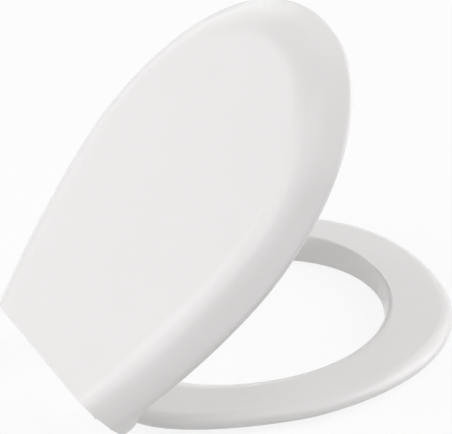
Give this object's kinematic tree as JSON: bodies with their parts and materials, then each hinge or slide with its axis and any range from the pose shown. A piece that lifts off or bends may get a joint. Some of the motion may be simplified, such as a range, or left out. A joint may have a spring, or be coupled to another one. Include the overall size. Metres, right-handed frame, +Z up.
{
  "type": "toilet seat with lid",
  "caption": "White oval toilet seat with a soft-closing lid standing half open on cranked hinge feet that bolt to the bowl.",
  "frame": {"origin": "midway between the two fixing holes, on the plane of the bowl's rim", "axes": "+Z up from the rim, -Y towards the front of the seat, +X along the hinge line to the right of someone facing the seat"},
  "size_m": [0.3683, 0.4389, 0.3383],
  "materials": {
    "seat_plastic": "gloss",
    "cast_hinge": "polished",
    "soft_pad": "matte",
    "insert_brass": "turned",
    "pin_steel": "ground",
    "screw_steel": "plain",
    "bush_plastic": "satin",
    "damper_plastic": "satin"
  },
  "bodies": {
    "hinges": {"hinge_foot_left": "cast_hinge", "hinge_foot_right": "cast_hinge", "foot_pad_left": "soft_pad", "foot_pad_right": "soft_pad", "thread_insert_left": "insert_brass", "thread_insert_right": "insert_brass", "hinge_pin_left": "pin_steel", "hinge_pin_right": "pin_steel", "grub_screw_left": "screw_steel", "grub_screw_right": "screw_steel", "lid_damper_shaft": "pin_steel", "ring_damper_shaft": "pin_steel"},
    "ring": {"seat_ring": "seat_plastic", "ring_buffer_front_left": "soft_pad", "ring_buffer_front_right": "soft_pad", "ring_buffer_rear_left": "soft_pad", "ring_buffer_rear_right": "soft_pad", "ring_damper_body": "damper_plastic", "pin_bush_left": "bush_plastic"},
    "lid": {"lid": "seat_plastic", "lid_buffer_left": "soft_pad", "lid_buffer_right": "soft_pad", "lid_damper_body": "damper_plastic", "pin_bush_right": "bush_plastic"}
  },
  "joints": [
    {"name": "ring_hinge", "type": "hinge", "parent": "hinges", "child": "ring", "pos_m": [0, 0.034, 0.029], "axis": [-1, 0, 0], "range_deg": [0, 92]},
    {"name": "lid_hinge", "type": "hinge", "parent": "ring", "child": "lid", "pos_m": [0, 0.034, 0.029], "axis": [-1, 0, 0], "range_deg": [-47.7, 52.3]}
  ]
}
